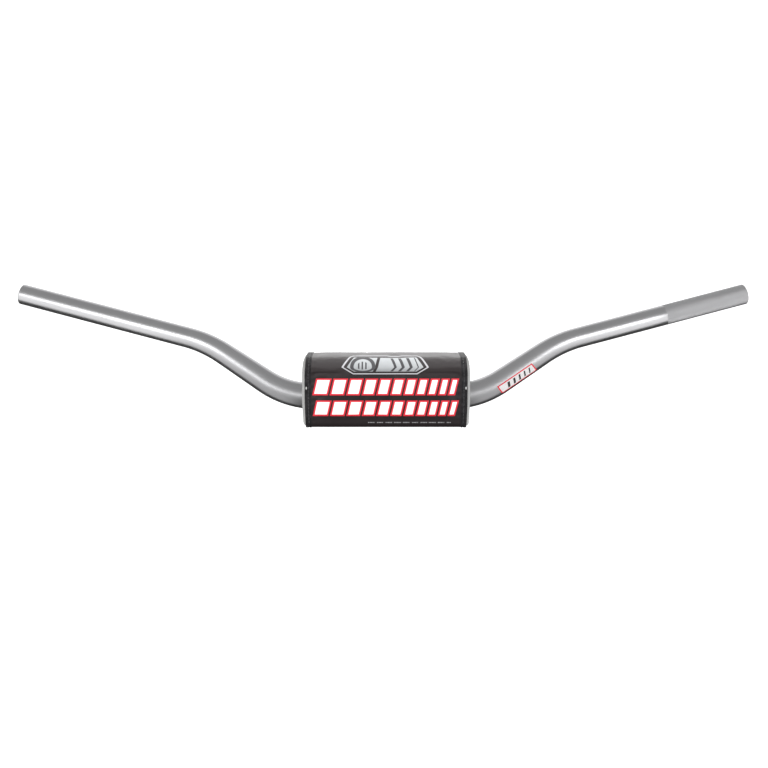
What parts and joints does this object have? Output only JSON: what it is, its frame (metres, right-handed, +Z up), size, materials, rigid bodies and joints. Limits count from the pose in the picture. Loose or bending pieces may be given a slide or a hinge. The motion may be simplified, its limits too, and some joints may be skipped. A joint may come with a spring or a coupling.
{
  "type": "motorcycle handlebar",
  "caption": "Tapered aluminium motocross handlebar with knurled grip end and a vinyl-covered foam pad strapped over its clamp section.",
  "frame": {"origin": "middle of the straight clamp section, on the tube's axis", "axes": "+X along the clamp section to the rider's left, +Y to the rear of the motorcycle towards the rider, +Z up"},
  "size_m": [0.802, 0.0961, 0.1465],
  "materials": {
    "anodised_tube": "satin",
    "printed_sticker": "gloss",
    "foam": "matte",
    "black_vinyl": "gloss",
    "hem_vinyl": "satin",
    "thread": "satin",
    "loop_fabric": "matte",
    "hook_tape": "matte",
    "flap_webbing": "matte"
  },
  "bodies": {
    "bar_and_pad": {"handlebar_tube": "anodised_tube", "bar_sticker": "printed_sticker", "foam_core": "foam", "pad_cover": "black_vinyl", "hem_tape_left": "hem_vinyl", "hem_tape_right": "hem_vinyl", "hem_thread_left": "thread", "hem_thread_right": "thread", "loop_strip": "loop_fabric", "loop_strip_thread": "thread", "flap_sewn_edge": "flap_webbing", "flap_seam_thread": "thread"},
    "flap": {"closing_flap": "flap_webbing", "hook_strip": "hook_tape", "hook_strip_thread": "thread"}
  },
  "joints": [
    {"name": "closing_flap_hinge", "type": "hinge", "parent": "bar_and_pad", "child": "flap", "pos_m": [0.003, 0.022, -0.02425], "axis": [1, 0, 0], "range_deg": [0, 135]}
  ]
}
